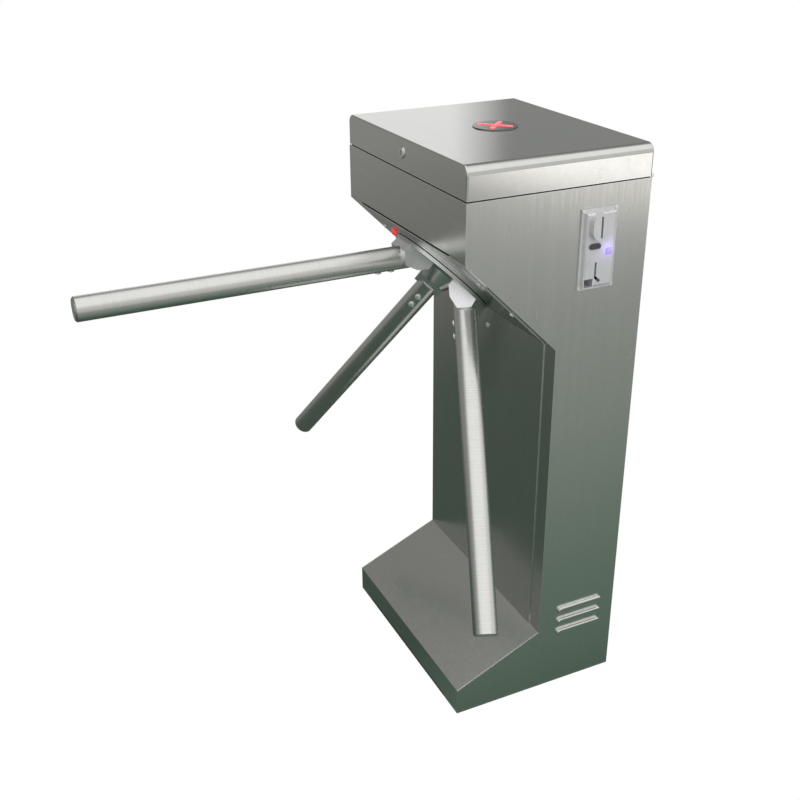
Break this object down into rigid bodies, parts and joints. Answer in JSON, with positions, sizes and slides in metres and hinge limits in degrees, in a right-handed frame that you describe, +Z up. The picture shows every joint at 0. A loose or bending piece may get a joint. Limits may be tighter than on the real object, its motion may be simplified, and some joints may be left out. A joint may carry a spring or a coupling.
{
  "type": "tripod turnstile",
  "caption": "Free-standing brushed steel tripod turnstile with a hinged lid, angled rotating hub with three arms, coin acceptor and internal detent and locking mechanism.",
  "frame": {"origin": "centre of the cabinet's footprint, on the floor", "axes": "+Z up, -Y towards the passage where the tripod turns, +X towards the side with the coin acceptor"},
  "size_m": [0.7992, 0.8514, 0.9815],
  "materials": {
    "brushed_panel": "brushed stainless sheet",
    "brushed_tube": "bright brushed stainless tube",
    "cast_socket": "polished casting",
    "hub_dark": "dark satin paint",
    "disc_steel": "turned stainless",
    "machined_steel": "machined, lightly oiled",
    "bearing_steel": "ground and polished",
    "fastener": "plain stainless screws",
    "zinc_plate": "zinc plated, slightly yellow",
    "black_plastic": "moulded, fine texture",
    "seal_rubber": "soft foam rubber",
    "coin_silver": "silver paint over a casting",
    "button_dark": "dark moulded button",
    "lamp_red": "red lens",
    "light_blue": "blue lit lens",
    "display_smoke": "smoked red window",
    "board_green": "printed circuit board with black relays",
    "coil_frame": "plated frame round a wound coil"
  },
  "bodies": {
    "cabinet": {"base_plate": "brushed_panel", "side_panel_left": "brushed_panel", "side_panel_right": "brushed_panel", "head_front_panel": "brushed_panel", "slope_panel": "brushed_panel", "column_cover": "brushed_panel", "foot_cover": "brushed_panel", "back_panel": "brushed_panel", "lid_gasket": "seal_rubber", "hub_bezel": "hub_dark", "indicator_lamp": "lamp_red", "mechanism_plate": "machined_steel", "bearing_housing": "machined_steel", "bearing_outer_rings": "bearing_steel", "mechanism_pillars": "zinc_plate", "carrier_plate": "zinc_plate", "lock_solenoids": "coil_frame", "position_sensor": "black_plastic", "lever_pivot_pins": "bearing_steel", "detent_spring": "fastener", "hinge_leaves_fixed": "fastener", "hinge_pins": "fastener", "lock_keeper": "zinc_plate", "coin_faceplate": "coin_silver", "coin_status_light": "light_blue", "coin_return_cup": "coin_silver", "coin_validator": "black_plastic", "coin_chute": "zinc_plate", "coin_box": "zinc_plate", "control_board": "board_green", "power_supply": "zinc_plate", "passage_counter": "black_plastic", "panel_screws": "fastener"},
    "lid": {"lid": "brushed_panel", "display_window": "display_smoke", "display_module": "black_plastic", "lock_barrel": "bearing_steel", "hinge_leaves_lid": "fastener"},
    "lid_lock": {"lock_plug": "bearing_steel", "lock_cam": "zinc_plate"},
    "tripod": {"rotor_disc": "disc_steel", "hub_dome": "hub_dark", "arm_sockets": "cast_socket", "arm_tube_1": "brushed_tube", "arm_tube_2": "brushed_tube", "arm_tube_3": "brushed_tube", "arm_end_caps": "brushed_tube", "arm_screws": "fastener", "main_shaft": "machined_steel", "shaft_fasteners": "fastener", "bearing_inner_rings": "bearing_steel", "index_cam": "machined_steel", "lock_disc": "machined_steel"},
    "detent_arm": {"detent_lever": "zinc_plate"},
    "detent_wheel": {"detent_roller": "bearing_steel"},
    "pawl_1": {"lock_pawl_1": "zinc_plate"},
    "pawl_2": {"lock_pawl_2": "zinc_plate"},
    "plunger_1": {"solenoid_plunger_1": "bearing_steel"},
    "plunger_2": {"solenoid_plunger_2": "bearing_steel"},
    "reject_button": {"coin_reject_button": "button_dark"}
  },
  "joints": [
    {"name": "tripod_rotation", "type": "hinge", "parent": "cabinet", "child": "tripod", "pos_m": [0, -0.08224, 0.75824], "axis": [0, -0.7071, -0.7071], "continuous": true},
    {"name": "lid_hinge", "type": "hinge", "parent": "cabinet", "child": "lid", "pos_m": [0, 0.1642, 0.929], "axis": [-1, 0, 0], "range_deg": [0, 85]},
    {"name": "lid_lock_turn", "type": "hinge", "parent": "lid", "child": "lid_lock", "pos_m": [0, -0.16, 0.957], "axis": [0, -1, 0], "range_deg": [0, 90]},
    {"name": "coin_reject_press", "type": "slide", "parent": "cabinet", "child": "reject_button", "axis": [-1, 0, 0], "range_m": [0, 0.003], "stiffness_N_per_m": 300},
    {"name": "detent_lever_swing", "type": "hinge", "parent": "cabinet", "child": "detent_arm", "pos_m": [0.058, 0.03089, 0.78653], "axis": [0, 0.7071, 0.7071], "range_deg": [0, 4.8], "stiffness_Nm_per_rad": 5},
    {"name": "detent_roller_spin", "type": "hinge", "parent": "detent_arm", "child": "detent_wheel", "pos_m": [0.0535, -0.0179, 0.82259], "axis": [0, -0.7071, -0.7071], "continuous": true},
    {"name": "lock_pawl_1_swing", "type": "hinge", "parent": "cabinet", "child": "pawl_1", "pos_m": [-0.08496, -0.02366, 0.85523], "axis": [0, 0.7071, 0.7071], "range_deg": [0, 8], "stiffness_Nm_per_rad": 3},
    {"name": "lock_pawl_2_swing", "type": "hinge", "parent": "cabinet", "child": "pawl_2", "pos_m": [-0.08496, 0.01474, 0.81682], "axis": [0, -0.7071, -0.7071], "range_deg": [0, 8], "stiffness_Nm_per_rad": 3},
    {"name": "solenoid_plunger_1_slide", "type": "slide", "parent": "cabinet", "child": "plunger_1", "axis": [0.5, 0.6124, -0.6124], "range_m": [0, 0.0076]},
    {"name": "solenoid_plunger_2_slide", "type": "slide", "parent": "cabinet", "child": "plunger_2", "axis": [0.5, -0.6124, 0.6124], "range_m": [0, 0.0076]}
  ],
  "couplings": [
    {"joint": "solenoid_plunger_1_slide", "follows": "lock_pawl_1_swing", "m_per_rad": 0.054},
    {"joint": "solenoid_plunger_2_slide", "follows": "lock_pawl_2_swing", "m_per_rad": 0.054}
  ]
}
